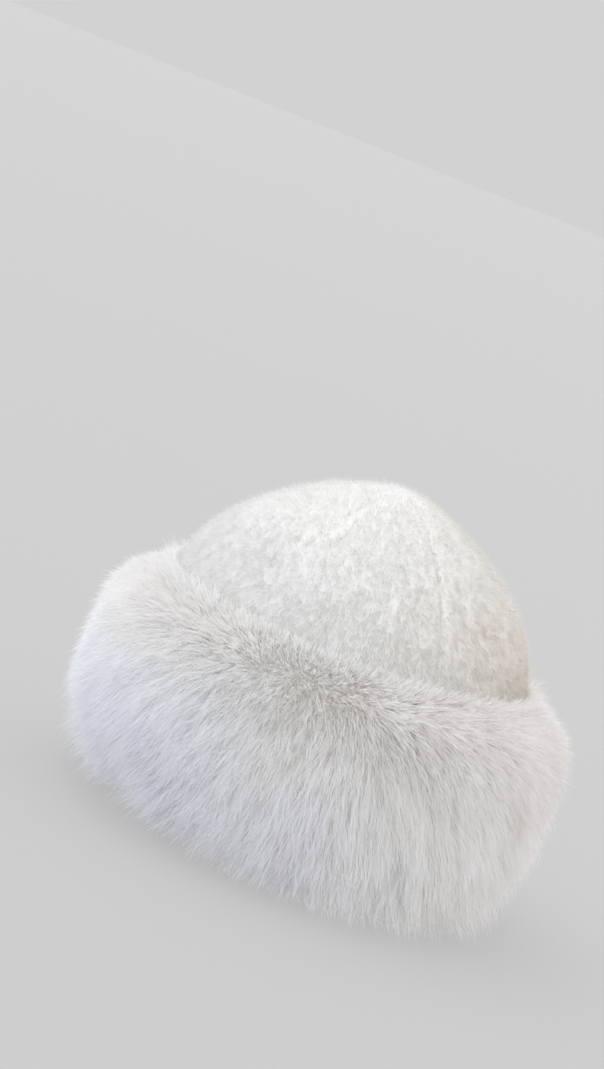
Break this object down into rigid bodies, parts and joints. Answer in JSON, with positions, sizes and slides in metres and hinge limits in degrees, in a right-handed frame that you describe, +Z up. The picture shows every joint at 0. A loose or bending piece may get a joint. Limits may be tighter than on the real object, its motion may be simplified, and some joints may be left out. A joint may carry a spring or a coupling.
{
  "type": "fur hat with cuff",
  "caption": "Soft domed winter hat of short plush fur in sewn gores, with a deep turned-up cuff of long fur round its base.",
  "frame": {"origin": "on the plane the hat rests on, below the centre of its dome", "axes": "+Z up, out of the dome; +Y to the back of the hat, -Y to the front; +X to the right of a viewer who faces the front"},
  "size_m": [0.2616, 0.271, 0.1893],
  "materials": {
    "white_plush_fur": "short matte plush fur, white",
    "white_long_fur": "long soft fur, white with a cool tint"
  },
  "bodies": {
    "root": {"crown_gore_1": "white_plush_fur", "crown_gore_2": "white_plush_fur", "crown_gore_3": "white_plush_fur", "crown_gore_4": "white_plush_fur", "crown_gore_5": "white_plush_fur", "crown_gore_6": "white_plush_fur", "brim_fur": "white_long_fur"}
  },
  "joints": []
}
